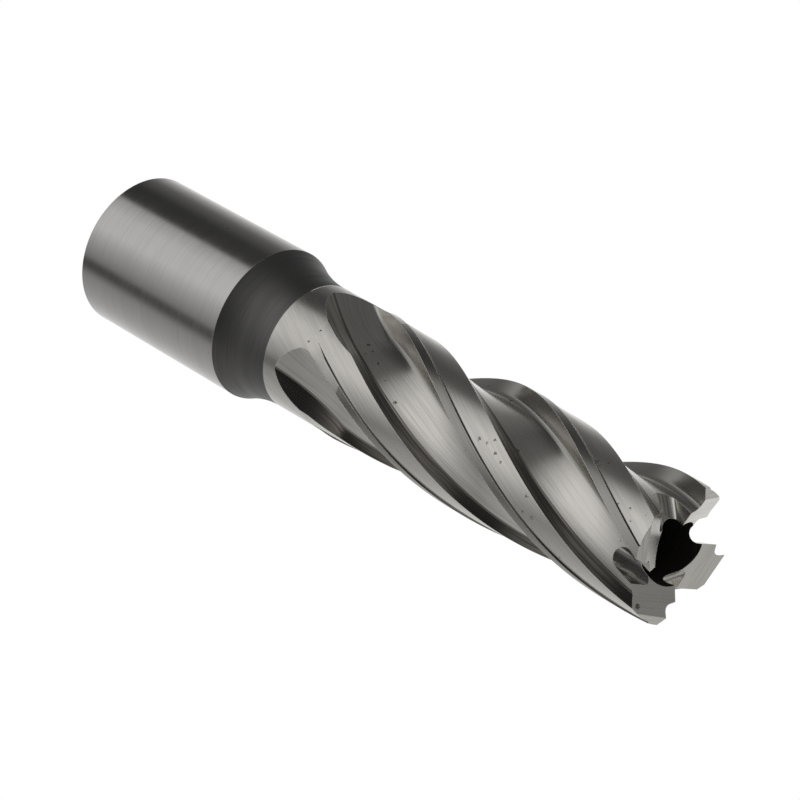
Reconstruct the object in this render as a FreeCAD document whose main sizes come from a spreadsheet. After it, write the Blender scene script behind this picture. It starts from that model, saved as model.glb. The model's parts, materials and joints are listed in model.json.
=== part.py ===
import FreeCAD, Part
import math
import os
import Sketcher

# Annular cutter with a Weldon shank: a hollow, right-hand cutter that leaves a slug in the middle.
# The cutter stands on the rear face of its shank. The origin is the centre of that face and +Z runs
# up the axis to the teeth. Sizes are in millimetres, angles in degrees.
# Each feature is first made with the outer corner of one tooth over the X axis. The finished
# piece is then turned about Z, which brings its two shank flats to face +X and +Y.

SIZES = (
    # Shank and shoulder
    ("shank_diameter", 19.05),
    ("shank_length", 24.3),
    ("rim_break", 0.25),
    ("shoulder_length", 7.1),
    ("neck_diameter", 15.7),
    # Fluted part
    ("cutting_diameter", 16.0),
    ("margin_start", 38.6),
    ("margin_ramp", 0.8),
    ("crest_height", 89.8),
    # Bores
    ("pilot_bore_diameter", 6.4),
    ("pilot_bore_chamfer", 0.6),
    ("slug_bore_diameter", 7.5),
    ("slug_bore_start", 36.0),
    ("slug_bore_cone", 59.0),
    # Shank flats, ground by a wheel that leaves a round end
    ("flat_distance", 8.225),
    ("flat_start", 8.0),
    ("flat_length", 9.0),
    ("flat_wheel_radius", 4.0),
    ("flat_count", 2.0),
    ("flat_spacing", 90.0),
    ("flat_angle", 26.5),
    # Flutes, seen in the section across the axis
    ("tooth_count", 4.0),
    ("helix_lead", 94.5),
    ("floor_distance", 5.4),
    ("floor_angle", 17.6),
    ("root_radius", 0.9),
    ("heel_angle", 57.5),
    ("heel_diameter", 15.28),
    ("heel_wall_angle", 86.6),
    ("land_diameter", 15.6),
    ("margin_angle", 8.0),
    # Flute run-out towards the neck, the imprint of the tilted grinding wheel
    ("runout_start", 42.7),
    ("runout_length", 10.7),
    ("wheel_radius", 24.0),
    ("wheel_tilt", 26.0),
    ("land_runout", 2.0),
    ("land_lift", 0.3),
    # Gullets between the teeth, a slot with a round bottom
    ("gullet_radius", 1.35),
    ("gullet_depth", 3.75),
    ("gullet_side", 1.67),
    ("gullet_station", 5.35),
    ("gullet_mouth", 6.2),
    ("gullet_front_lean", 18.8),
    ("gullet_back_lean", 24.2),
    ("gullet_turn", 20.8),
    ("gullet_rise", 46.4),
    # Tooth ends, a roof of two planes that meet in a crest
    ("crest_radius", 6.9),
    ("crest_toe", 2.6),
    ("crest_drop", 14.4),
    ("relief_incline", 19.8),
    ("bevel_incline", 27.0),
    ("tooth_end_side", 2.1),
)

FULL_TURN = 360.0
CLEARANCE = 1.0
SECTION_SPACING = 3.2
RUNOUT_SECTIONS = 8
LAND_SECTIONS = 3
ROOT_CHORDS = 5
LAND_CHORDS = 4
LAND_OVERLAP = 0.2

doc = FreeCAD.newDocument("annular_cutter")
sheet = doc.addObject("Spreadsheet::Sheet", "Sizes")
for row, (alias, number) in enumerate(SIZES, start=1):
    sheet.set("A%d" % row, alias)
    sheet.set("B%d" % row, str(number))
    sheet.setAlias("B%d" % row, alias)
doc.recompute()


def size(alias):
    """One driving size, read from the sheet."""
    return float(getattr(sheet, alias))


def bind(item, target, formula):
    """Tie a property or a sketch dimension to a formula of the sheet's sizes."""
    item.setExpression(target, formula)


def origin_part(body, role):
    """One of the body's own origin planes or axes."""
    return next(part for part in body.Origin.OriginFeatures if part.Role == role)


def new_sketch(body, name, plane):
    """An empty sketch on one of the body's origin planes."""
    sketch = body.newObject("Sketcher::SketchObject", name)
    sketch.AttachmentSupport = [(origin_part(body, plane), "")]
    sketch.MapMode = "FlatFace"
    return sketch


def turn_sketch(sketch, clockwise, formula):
    """Turn an upright sketch about the cutter's axis by the angle of a formula."""
    axis = FreeCAD.Vector(0, -1 if clockwise else 1, 0)
    sketch.AttachmentOffset = FreeCAD.Placement(
        FreeCAD.Vector(0, 0, 0), FreeCAD.Rotation(axis, float(sketch.evalExpression(formula))))
    bind(sketch, "AttachmentOffset.Rotation.Angle", formula)


def draw_outline(sketch, corners, bends=None):
    """Draw a closed outline whose corners are formulas of the sheet's sizes.

    A side runs from its corner to the next one. bends makes a side an arc: it maps the side's
    number to the formulas of the arc's centre and the number of the side that it is tangent to.
    Every arc turns anticlockwise or clockwise as its outline does at that side.
    """
    bends = bends or {}
    points = []
    for across, up in corners:
        points.append(FreeCAD.Vector(sketch.evalExpression(across), sketch.evalExpression(up), 0))
    ends = []
    for side, start in enumerate(points):
        finish = points[(side + 1) % len(points)]
        if side not in bends:
            sketch.addGeometry(Part.LineSegment(start, finish), False)
            ends.append((1, 2))
            continue
        across, up, forward, _ = bends[side]
        centre = FreeCAD.Vector(sketch.evalExpression(across), sketch.evalExpression(up), 0)
        first, last = (start, finish) if forward else (finish, start)
        circle = Part.Circle(centre, FreeCAD.Vector(0, 0, 1), centre.distanceToPoint(start))
        angles = [math.atan2(spot.y - centre.y, spot.x - centre.x) for spot in (first, last)]
        sketch.addGeometry(Part.ArcOfCircle(circle, angles[0], angles[1]), False)
        ends.append((1, 2) if forward else (2, 1))
    for side in range(len(points)):
        after = (side + 1) % len(points)
        tangent = any(pair in ((side, after), (after, side))
                      for pair in ((bend, bends[bend][3]) for bend in bends))
        kind = "Tangent" if tangent else "Coincident"
        sketch.addConstraint(Sketcher.Constraint(kind, side, ends[side][1], after, ends[after][0]))
    for side, formulas in enumerate(corners):
        for kind, formula in zip(("DistanceX", "DistanceY"), formulas):
            value = sketch.evalExpression(formula)
            number = sketch.addConstraint(
                Sketcher.Constraint(kind, -1, 1, side, ends[side][0], float(value)))
            name = "corner%d%s" % (side, kind[-1])
            sketch.renameConstraint(number, name)
            bind(sketch, "Constraints." + name, formula)
    doc.recompute()


def polar_pattern(body, name, feature, count, angle):
    """Repeat a feature about the axis, with its count and whole angle as formulas."""
    pattern = body.newObject("PartDesign::PolarPattern", name)
    pattern.Originals = [feature]
    pattern.Axis = (origin_part(body, "Z_Axis"), [""])
    bind(pattern, "Occurrences", count)
    bind(pattern, "Angle", angle)
    body.Tip = pattern
    doc.recompute()
    return pattern


def check_cut(name, before, after):
    """Stop if a cut took nothing away."""
    if after.Shape.Volume >= before.Shape.Volume:
        raise RuntimeError(name + " cut nothing")


def add_turned_blank(body):
    """Turn the shank, the concave shoulder, the neck and the cutting diameter in one profile.

    The profile lies on the side away from the two flats, so the seams of the turned faces do too.
    """
    profile = new_sketch(body, "TurnedProfile", "XZ_Plane")
    turn_sketch(profile, True, "180 - Sizes.flat_angle - Sizes.flat_spacing / 2")
    shank = "Sizes.shank_diameter / 2"
    neck = "Sizes.neck_diameter / 2"
    neck_start = "Sizes.shank_length + Sizes.shoulder_length"
    step = "(Sizes.shank_diameter - Sizes.neck_diameter) / 2"
    shoulder_radius = "((%s) ^ 2 + Sizes.shoulder_length ^ 2) / (2 * (%s))" % (step, step)
    cutting = "Sizes.cutting_diameter / 2"
    top = "Sizes.crest_height + %s" % CLEARANCE
    corners = [
        ("0", "0"),
        (shank + " - Sizes.rim_break", "0"),
        (shank, "Sizes.rim_break"),
        (shank, "Sizes.shank_length"),
        (neck, neck_start),
        (neck, "Sizes.margin_start"),
        (cutting, "Sizes.margin_start + Sizes.margin_ramp"),
        (cutting, top),
        ("0", top),
    ]
    shoulder_side = 3
    neck_side = 4
    draw_outline(profile, corners, {
        shoulder_side: (neck + " + " + shoulder_radius, neck_start, False, neck_side),
    })
    turned = body.newObject("PartDesign::Revolution", "TurnedBlank")
    turned.Profile = profile
    turned.ReferenceAxis = (origin_part(body, "Z_Axis"), [""])
    turned.Angle = FULL_TURN
    doc.recompute()
    return turned


def add_bores(body, before):
    """Bore the pilot hole through the shank and the wider hole that takes the slug."""
    profile = new_sketch(body, "BoreProfile", "XZ_Plane")
    pilot = "Sizes.pilot_bore_diameter / 2"
    slug = "Sizes.slug_bore_diameter / 2"
    cone = "(%s - %s) / tan(Sizes.slug_bore_cone)" % (slug, pilot)
    top = "Sizes.crest_height + %s" % (2 * CLEARANCE)
    draw_outline(profile, [
        ("0", "-%s" % CLEARANCE),
        ("%s + Sizes.pilot_bore_chamfer + %s" % (pilot, CLEARANCE), "-%s" % CLEARANCE),
        (pilot, "Sizes.pilot_bore_chamfer"),
        (pilot, "Sizes.slug_bore_start - " + cone),
        (slug, "Sizes.slug_bore_start"),
        (slug, top),
        ("0", top),
    ])
    bores = body.newObject("PartDesign::Groove", "Bores")
    bores.Profile = profile
    bores.ReferenceAxis = (origin_part(body, "Z_Axis"), [""])
    bores.Angle = FULL_TURN
    doc.recompute()
    check_cut("Bores", before, bores)
    return bores


def add_shank_flats(body, before):
    """Grind the two clamping flats. A rear collar of full diameter is left behind them."""
    profile = new_sketch(body, "FlatProfile", "XZ_Plane")
    turn_sketch(profile, False, "Sizes.flat_angle")
    wheel = "Sizes.flat_wheel_radius"
    outside = "Sizes.shank_diameter / 2 + %s" % CLEARANCE
    depth = "(%s - Sizes.flat_distance)" % outside
    end_length = "sqrt(%s ^ 2 - (%s - %s) ^ 2)" % (wheel, wheel, depth)
    lower = "Sizes.flat_start"
    upper = "Sizes.flat_start + Sizes.flat_length"
    centre = "Sizes.flat_distance + " + wheel
    flat_side = 3
    draw_outline(profile, [
        ("Sizes.flat_distance", lower),
        (outside, "%s - %s" % (lower, end_length)),
        (outside, "%s + %s" % (upper, end_length)),
        ("Sizes.flat_distance", upper),
    ], {
        0: (centre, lower, True, flat_side),
        2: (centre, upper, True, flat_side),
    })
    flat = body.newObject("PartDesign::Pocket", "ShankFlat")
    flat.Profile = profile
    flat.SideType = "Symmetric"
    bind(flat, "Length", "Sizes.shank_diameter * 2")
    doc.recompute()
    check_cut("ShankFlat", before, flat)
    angle = "Sizes.flat_spacing * (Sizes.flat_count - 1)"
    flats = polar_pattern(body, "ShankFlats", flat, "Sizes.flat_count", angle)
    flats.Mode = "Extent"
    doc.recompute()
    check_cut("ShankFlats", flat, flats)
    return flats


def add_gullets(body, before):
    """Cut the gullet in front of each tooth, a leaning slot that climbs inwards to the bore."""
    profile = new_sketch(body, "GulletProfile", "YZ_Plane")
    bind(profile, "AttachmentOffset.Base.z", "Sizes.gullet_mouth")
    outwards = "(Sizes.gullet_mouth - Sizes.gullet_station)"
    side = "(Sizes.gullet_side - %s * tan(Sizes.gullet_turn))" % outwards
    level = "(Sizes.crest_height - Sizes.gullet_depth - %s * tan(Sizes.gullet_rise))" % outwards
    top = "(Sizes.crest_height + %s)" % (2 * CLEARANCE)
    front = "Sizes.gullet_front_lean"
    back = "Sizes.gullet_back_lean"
    radius = "Sizes.gullet_radius"
    front_side = "%s - %s * cos(%s)" % (side, radius, front)
    front_level = "%s + %s * sin(%s)" % (level, radius, front)
    back_side = "%s + %s * cos(%s)" % (side, radius, back)
    back_level = "%s - %s * sin(%s)" % (level, radius, back)
    round_side = 0
    draw_outline(profile, [
        (front_side, front_level),
        (back_side, back_level),
        ("%s + (%s - (%s)) * tan(%s)" % (back_side, top, back_level, back), top),
        ("%s + (%s - (%s)) * tan(%s)" % (front_side, top, front_level, front), top),
    ], {
        round_side: (side, level, True, 1),
    })
    gullet = body.newObject("PartDesign::Pocket", "Gullet")
    gullet.Profile = profile
    gullet.UseCustomVector = True
    gullet.Direction = FreeCAD.Vector(
        -1, math.tan(math.radians(size("gullet_turn"))), math.tan(math.radians(size("gullet_rise"))))
    gullet.AlongSketchNormal = True
    bind(gullet, "Direction.y", "tan(Sizes.gullet_turn)")
    bind(gullet, "Direction.z", "tan(Sizes.gullet_rise)")
    bind(gullet, "Length", "Sizes.gullet_mouth - %s" % CLEARANCE)
    doc.recompute()
    check_cut("Gullet", before, gullet)
    gullets = polar_pattern(body, "Gullets", gullet, "Sizes.tooth_count", str(FULL_TURN))
    check_cut("Gullets", gullet, gullets)
    return gullets


def add_tooth_ends(body, before):
    """Back off the end of each tooth: a relief inside the crest and a bevel outside it.

    The profile is the roof over one tooth. It is drawn in the radial plane through the outer
    corner and runs back along the crest, which drops behind the cutting edge.
    """
    profile = new_sketch(body, "ToothEndProfile", "XZ_Plane")
    inside = "Sizes.tooth_end_side"
    outside = "(Sizes.cutting_diameter / 2 + %s)" % (2 * CLEARANCE)
    crest = "Sizes.crest_radius"
    level = "Sizes.crest_height"
    top = "(Sizes.crest_height + %s)" % (4 * CLEARANCE)
    draw_outline(profile, [
        (inside, "%s - (%s - %s) * tan(Sizes.relief_incline)" % (level, crest, inside)),
        (crest, level),
        (outside, "%s - (%s - %s) * tan(Sizes.bevel_incline)" % (level, outside, crest)),
        (outside, top),
        (inside, top),
    ])
    end = body.newObject("PartDesign::Pocket", "ToothEnd")
    end.Profile = profile
    end.UseCustomVector = True
    end.Direction = FreeCAD.Vector(
        math.tan(math.radians(size("crest_toe"))), 1, math.tan(math.radians(size("crest_drop"))))
    end.AlongSketchNormal = True
    bind(end, "Direction.x", "tan(Sizes.crest_toe)")
    bind(end, "Direction.z", "tan(Sizes.crest_drop)")
    end.SideType = "Two sides"
    bind(end, "Length", inside)
    bind(end, "Length2", "Sizes.cutting_diameter / 2")
    doc.recompute()
    check_cut("ToothEnd", before, end)
    ends = polar_pattern(body, "ToothEnds", end, "Sizes.tooth_count", str(FULL_TURN))
    check_cut("ToothEnds", end, ends)
    return ends


def polar(radius, angle):
    """A point in the section plane from its radius and its angle in degrees."""
    return FreeCAD.Vector(
        radius * math.cos(math.radians(angle)), radius * math.sin(math.radians(angle)), 0)


def crossing(point, direction, normal, distance):
    """Where a line meets the line that lies at a distance from the axis along its normal."""
    return point + direction * ((distance - point.dot(normal)) / direction.dot(normal))


def flute_section():
    """The flute's section with the cutting edge on the X axis: what one pass takes away.

    It runs down the radial rake face, round the root, along the flat floor and up the heel wall,
    and closes outside the metal. The root is drawn as a few chords, so that its long twisted
    faces stay light.
    """
    floor_angle = size("floor_angle")
    floor_normal = polar(1, floor_angle)
    floor = size("floor_distance")
    root = size("root_radius")
    root_centre = crossing(FreeCAD.Vector(0, root, 0), polar(1, 0), floor_normal, floor + root)
    heel = polar(size("heel_diameter") / 2, size("heel_angle"))
    heel_wall = polar(1, size("heel_wall_angle"))
    rake_foot_angle = 270
    root_sweep = 90 - floor_angle
    corners = [polar(size("cutting_diameter"), 0)]
    for step in range(ROOT_CHORDS + 1):
        corners.append(root_centre + polar(root, rake_foot_angle - root_sweep * step / ROOT_CHORDS))
    corners.append(crossing(heel, heel_wall, floor_normal, floor))
    corners.append(heel + heel_wall * size("cutting_diameter") / 2)
    return Part.makePolygon(corners + corners[:1])


def land_section():
    """The section of the relief behind one tooth, which leaves a raised margin at its far side.

    It starts in the open flute before the heel, spirals outwards over the land as a few chords
    and climbs the small step to the margin.
    """
    heel = size("heel_diameter") / 2
    heel_angle = size("heel_angle")
    cutting = size("cutting_diameter") / 2
    land = size("land_diameter") / 2
    margin_edge = FULL_TURN / size("tooth_count") - size("margin_angle")
    land_end = margin_edge - math.degrees((cutting - land) / cutting)
    outside = cutting + 2 * CLEARANCE
    corners = []
    for step in range(LAND_CHORDS + 1):
        share = (1 + LAND_OVERLAP) * step / LAND_CHORDS - LAND_OVERLAP
        corners.append(polar(
            heel + (land - heel) * share, heel_angle + (land_end - heel_angle) * share))
    corners.append(polar(outside, margin_edge + math.degrees((outside - cutting) / outside)))
    corners.append(polar(outside, heel_angle))
    return Part.makePolygon(corners + corners[:1])


def helix_turn(level):
    """Turn of the helix at one height, none at the outer corner of a tooth."""
    corner_drop = size("cutting_diameter") / 2 - size("crest_radius")
    corner_level = size("crest_height") - corner_drop * math.tan(math.radians(size("bevel_incline")))
    return FULL_TURN / size("helix_lead") * (level - corner_level)


def flute_pose(level):
    """Turn and shift of the flute's section at one height.

    Above the run-out the section only turns with the helix. Below it the section keeps its turn,
    slides straight on along the tilted wheel and climbs out of the metal with the wheel's rim.
    """
    below = max(size("runout_start") - level, 0.0)
    tilt = math.radians(size("wheel_tilt"))
    wheel = size("wheel_radius")
    lift = wheel - math.sqrt(wheel ** 2 - (below / math.cos(tilt)) ** 2)
    floor_angle = size("floor_angle")
    shift = polar(lift, floor_angle) - polar(below * math.tan(tilt), floor_angle + 90)
    return helix_turn(level + below), shift


def land_pose(level):
    """Turn and shift of the land's section at one height, lifted out of the metal at its end."""
    share = max(size("margin_start") - level, 0.0) / size("land_runout")
    middle = (size("heel_angle") + FULL_TURN / size("tooth_count")) / 2
    return helix_turn(level), polar(size("land_lift") * share ** 2, middle)


def ground_space(section, pose, bottom, start, runout_sections):
    """The space that one grinding pass takes, lofted through its turned and shifted sections."""
    top = size("crest_height") + 2 * CLEARANCE
    helix_steps = math.ceil((top - start) / SECTION_SPACING)
    levels = [bottom + (start - bottom) * step / runout_sections for step in range(runout_sections)]
    levels += [start + (top - start) * step / helix_steps for step in range(helix_steps + 1)]
    wires = []
    for level in levels:
        turn, shift = pose(level)
        wire = section.copy()
        wire.translate(shift)
        wire.rotate(FreeCAD.Vector(0, 0, 0), FreeCAD.Vector(0, 0, 1), turn)
        wire.translate(FreeCAD.Vector(0, 0, level))
        wires.append(wire)
    return Part.makeLoft(wires, True, False)


def add_flutes(blank):
    """Grind the helical flutes and the relieved lands out of the blank, one of each per tooth."""
    start = size("runout_start")
    land_start = size("margin_start")
    shapes = {
        "Flute": ground_space(
            flute_section(), flute_pose, start - size("runout_length"), start, RUNOUT_SECTIONS),
        "Land": ground_space(
            land_section(), land_pose, land_start - size("land_runout"), land_start, LAND_SECTIONS),
    }
    cutters = []
    for tooth in range(round(size("tooth_count"))):
        turn = FULL_TURN / size("tooth_count") * tooth
        for name, shape in shapes.items():
            cutter = doc.addObject("Part::Feature", "%s%d" % (name, tooth + 1))
            cutter.Shape = shape
            cutter.Placement = FreeCAD.Placement(
                FreeCAD.Vector(0, 0, 0), FreeCAD.Rotation(FreeCAD.Vector(0, 0, 1), turn))
            cutters.append(cutter)
    flutes = doc.addObject("Part::Compound", "Flutes")
    flutes.Links = cutters
    fluted = doc.addObject("Part::Cut", "FlutedCutter")
    fluted.Base = blank
    fluted.Tool = flutes
    fluted.Label = "cutter_body"
    fluted.Placement = FreeCAD.Placement(
        FreeCAD.Vector(0, 0, 0), FreeCAD.Rotation(FreeCAD.Vector(0, 0, 1), -size("flat_angle")))
    doc.recompute()
    check_cut("Flutes", blank, fluted)
    return fluted


def check_document():
    """Stop if any object of the document failed."""
    for item in doc.Objects:
        if "Invalid" in item.State or "Error" in item.State:
            raise RuntimeError("%s failed: %s" % (item.Name, item.State))


def write_parts(parts):
    """Check each finished piece and write it under its label."""
    os.makedirs("parts", exist_ok=True)
    for part in parts:
        if part.Shape.isNull() or not part.Shape.isValid() or len(part.Shape.Solids) != 1:
            raise RuntimeError(part.Label + " is not one sound solid")
        part.Shape.exportStep("parts/%s.step" % part.Label)


cutter_blank = doc.addObject("PartDesign::Body", "Blank")
turned_blank = add_turned_blank(cutter_blank)
bored_blank = add_bores(cutter_blank, turned_blank)
flatted_blank = add_shank_flats(cutter_blank, bored_blank)
gulleted_blank = add_gullets(cutter_blank, flatted_blank)
add_tooth_ends(cutter_blank, gulleted_blank)
cutter_body = add_flutes(cutter_blank)
check_document()
write_parts([cutter_body])
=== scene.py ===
"""Annular cutter: the looks of a ground steel hole cutter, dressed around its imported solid."""

import json
import logging
import math
from dataclasses import dataclass
from enum import Enum, IntEnum

import bpy
from mathutils import Euler, Matrix, Vector
from mathutils.bvhtree import BVHTree


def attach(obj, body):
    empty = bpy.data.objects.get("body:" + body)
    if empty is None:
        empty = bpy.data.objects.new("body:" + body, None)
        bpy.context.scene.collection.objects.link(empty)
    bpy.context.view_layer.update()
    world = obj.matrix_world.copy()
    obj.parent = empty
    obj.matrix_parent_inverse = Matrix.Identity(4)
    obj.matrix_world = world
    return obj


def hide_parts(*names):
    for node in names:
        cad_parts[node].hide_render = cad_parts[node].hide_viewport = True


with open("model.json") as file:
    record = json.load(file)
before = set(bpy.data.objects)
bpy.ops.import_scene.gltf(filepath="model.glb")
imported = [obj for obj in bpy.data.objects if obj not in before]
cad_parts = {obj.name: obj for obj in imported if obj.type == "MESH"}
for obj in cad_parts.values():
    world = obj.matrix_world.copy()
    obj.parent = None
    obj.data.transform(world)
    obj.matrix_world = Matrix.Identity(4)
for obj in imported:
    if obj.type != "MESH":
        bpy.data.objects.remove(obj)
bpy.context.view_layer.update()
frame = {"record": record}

LOG = logging.getLogger("annular_cutter")
MM = 0.001
FULL_TURN = 2 * math.pi
CAD_NODE = "cutter_body"
BODY = "root"
REGION = "region"
SIDE_REGION = "side_region"
SAME_POINT = 1e-7

Colour = tuple[float, float, float]
Node = bpy.types.Node
Socket = bpy.types.NodeSocket
Tree = bpy.types.NodeTree


class Region(IntEnum):
    """Surfaces of the cutter that were finished in different ways."""

    SHANK = 0
    SHOULDER = 1
    NECK = 2
    BORE = 3
    FLUTE = 4
    HEEL = 5
    LAND = 6
    GULLET = 7
    TOOTH_END = 8
    MARGIN = 9


@dataclass(frozen=True)
class Side:
    """A stretch of an outline, whose surface has one finish."""

    points: list[Vector]
    region: Region


def polar(radius: float, angle: float) -> Vector:
    """A point of the plane from its radius and its angle in degrees."""
    return Vector((radius * math.cos(math.radians(angle)), radius * math.sin(math.radians(angle))))


def slope(angle: float) -> float:
    """Rise for each step across, at an angle in degrees."""
    return math.tan(math.radians(angle))


def arc_points(centre: Vector, start: Vector, end: Vector, steps: int, left: bool) -> list[Vector]:
    """Points of an arc from start to end about a centre.

    Args:
        centre: The arc's centre.
        start: Its first point, which is part of the result.
        end: Its last point, which is part of the result.
        steps: How many chords stand for it.
        left: Whether it turns anticlockwise.

    Returns:
        The points from start to end.
    """
    first = math.atan2(start.y - centre.y, start.x - centre.x)
    sweep = (math.atan2(end.y - centre.y, end.x - centre.x) - first) % FULL_TURN
    if not left:
        sweep -= FULL_TURN
    radius = (start - centre).length
    turned = [first + sweep * step / steps for step in range(steps + 1)]
    return [centre + Vector((math.cos(angle), math.sin(angle))) * radius for angle in turned]


def line_points(start: Vector, end: Vector, steps: int) -> list[Vector]:
    """Evenly spaced points of a line, both ends among them."""
    return [start.lerp(end, step / steps) for step in range(steps + 1)]


def crossing(point: Vector, direction: Vector, normal: Vector, distance: float) -> Vector:
    """Where a line meets the line that lies at a distance from the axis along its normal."""
    return point + direction * ((distance - point.dot(normal)) / direction.dot(normal))


@dataclass(frozen=True)
class CutterSizes:
    """Sizes of the cutter in metres and degrees, in the frame of one tooth's outer corner."""

    shank_radius: float
    pilot_radius: float
    slug_radius: float
    shank_length: float = 24.3 * MM
    rim_break: float = 0.25 * MM
    shoulder_length: float = 7.1 * MM
    neck_radius: float = 7.85 * MM
    cutting_radius: float = 8.0 * MM
    margin_start: float = 38.6 * MM
    margin_ramp: float = 1.6 * MM
    margin_shade: float = 43.0 * MM
    crest_height: float = 89.8 * MM
    pilot_chamfer: float = 0.6 * MM
    slug_start: float = 36.0 * MM
    slug_cone: float = 59.0
    flat_distance: float = 8.225 * MM
    flat_start: float = 8.0 * MM
    flat_length: float = 9.0 * MM
    flat_wheel: float = 4.0 * MM
    flat_angle: float = 26.5
    teeth: int = 4
    helix_lead: float = 94.5 * MM
    floor_distance: float = 5.4 * MM
    floor_angle: float = 17.6
    root_radius: float = 0.9 * MM
    heel_angle: float = 57.5
    heel_radius: float = 7.64 * MM
    heel_wall_angle: float = 86.6
    heel_foot: float = 0.3 * MM
    land_radius: float = 7.8 * MM
    margin_angle: float = 8.0
    runout_start: float = 42.7 * MM
    runout_length: float = 10.7 * MM
    wheel_radius: float = 24.0 * MM
    wheel_tilt: float = 26.0
    land_runout: float = 2.0 * MM
    land_lift: float = 0.3 * MM
    gullet_radius: float = 1.35 * MM
    gullet_depth: float = 3.75 * MM
    gullet_side: float = 1.67 * MM
    gullet_station: float = 5.35 * MM
    gullet_mouth: float = 6.2 * MM
    gullet_front_lean: float = 18.8
    gullet_back_lean: float = 24.2
    gullet_turn: float = 20.8
    gullet_rise: float = 46.4
    crest_radius: float = 6.9 * MM
    crest_toe: float = 2.6
    crest_drop: float = 14.4
    relief_incline: float = 19.8
    bevel_incline: float = 27.0
    tooth_end_side: float = 2.1 * MM
    clearance: float = 1.0 * MM

    @property
    def corner_level(self) -> float:
        """Height of a tooth's outer corner."""
        drop = (self.cutting_radius - self.crest_radius) * slope(self.bevel_incline)
        return self.crest_height - drop


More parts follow.
